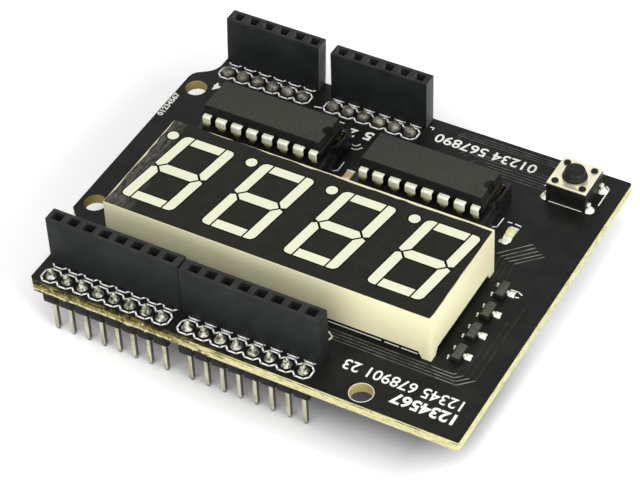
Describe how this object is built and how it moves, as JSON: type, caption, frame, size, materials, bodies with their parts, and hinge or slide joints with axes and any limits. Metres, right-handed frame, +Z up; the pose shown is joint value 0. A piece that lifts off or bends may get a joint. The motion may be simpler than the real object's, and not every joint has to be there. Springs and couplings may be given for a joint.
{
  "type": "seven segment display board",
  "caption": "Stackable circuit board with a row of seven segment digits, socketed driver chips, a push button, and pin rows that plug into a second board.",
  "frame": {"origin": "under the middle of the part, at the tips of the pins it stands on", "axes": "+X right along the near long edge of the board, +Y away from it, +Z up out of the board's top face"},
  "size_m": [0.0684, 0.0548, 0.0187],
  "materials": {
    "board_laminate": "satin",
    "capacitor_ceramic": "satin",
    "chip_plastic": "matte",
    "chip_socket_plastic": "matte",
    "clear_resin": "satin",
    "contact_metal": "satin",
    "display_plastic": "satin",
    "face_film": "satin",
    "header_plastic": "matte",
    "inner_laminate": "matte",
    "lamp_base_laminate": "matte",
    "lamp_resin": "satin",
    "lead_metal": "satin",
    "led_die": "glossy",
    "pin_metal": "satin",
    "solder": "glossy",
    "strip_plastic": "matte",
    "switch_metal": "satin",
    "switch_plastic": "matte",
    "transistor_plastic": "matte"
  },
  "bodies": {
    "board": {"circuit_board": "board_laminate", "near_left_pin_strip": "strip_plastic", "near_right_pin_strip": "strip_plastic", "far_left_pin_strip": "strip_plastic", "far_right_pin_strip": "strip_plastic", "near_left_pins": "pin_metal", "near_right_pins": "pin_metal", "far_left_pins": "pin_metal", "far_right_pins": "pin_metal", "near_left_socket": "header_plastic", "near_right_socket": "header_plastic", "far_left_socket": "header_plastic", "far_right_socket": "header_plastic", "near_left_socket_contacts": "contact_metal", "near_right_socket_contacts": "contact_metal", "far_left_socket_contacts": "contact_metal", "far_right_socket_contacts": "contact_metal", "display_shell": "display_plastic", "display_face_film": "face_film", "display_light_guides": "clear_resin", "display_led_board": "inner_laminate", "display_led_dies": "led_die", "display_pins": "pin_metal", "left_chip_socket": "chip_socket_plastic", "right_chip_socket": "chip_socket_plastic", "left_chip_socket_contacts": "contact_metal", "right_chip_socket_contacts": "contact_metal", "left_chip_body": "chip_plastic", "right_chip_body": "chip_plastic", "left_chip_leads": "lead_metal", "right_chip_leads": "lead_metal", "switch_base": "switch_plastic", "switch_cover": "switch_metal", "switch_dome": "contact_metal", "switch_legs": "lead_metal", "transistor_bodies": "transistor_plastic", "transistor_leads": "lead_metal", "capacitor_body": "capacitor_ceramic", "capacitor_ends": "solder", "lamp_base": "lamp_base_laminate", "lamp_lens": "lamp_resin", "lamp_ends": "solder", "near_pin_solder": "solder", "far_pin_solder": "solder", "socket_row_solder": "solder", "display_solder": "solder", "chip_socket_solder": "solder", "switch_solder": "solder", "small_part_solder": "solder"},
    "button": {"switch_plunger": "switch_plastic"}
  },
  "joints": [
    {"name": "button_press", "type": "slide", "parent": "board", "child": "button", "axis": [0, 0, 1], "range_m": [-0.00025, 0], "stiffness_N_per_m": 4000, "springref_m": 0.0001}
  ]
}
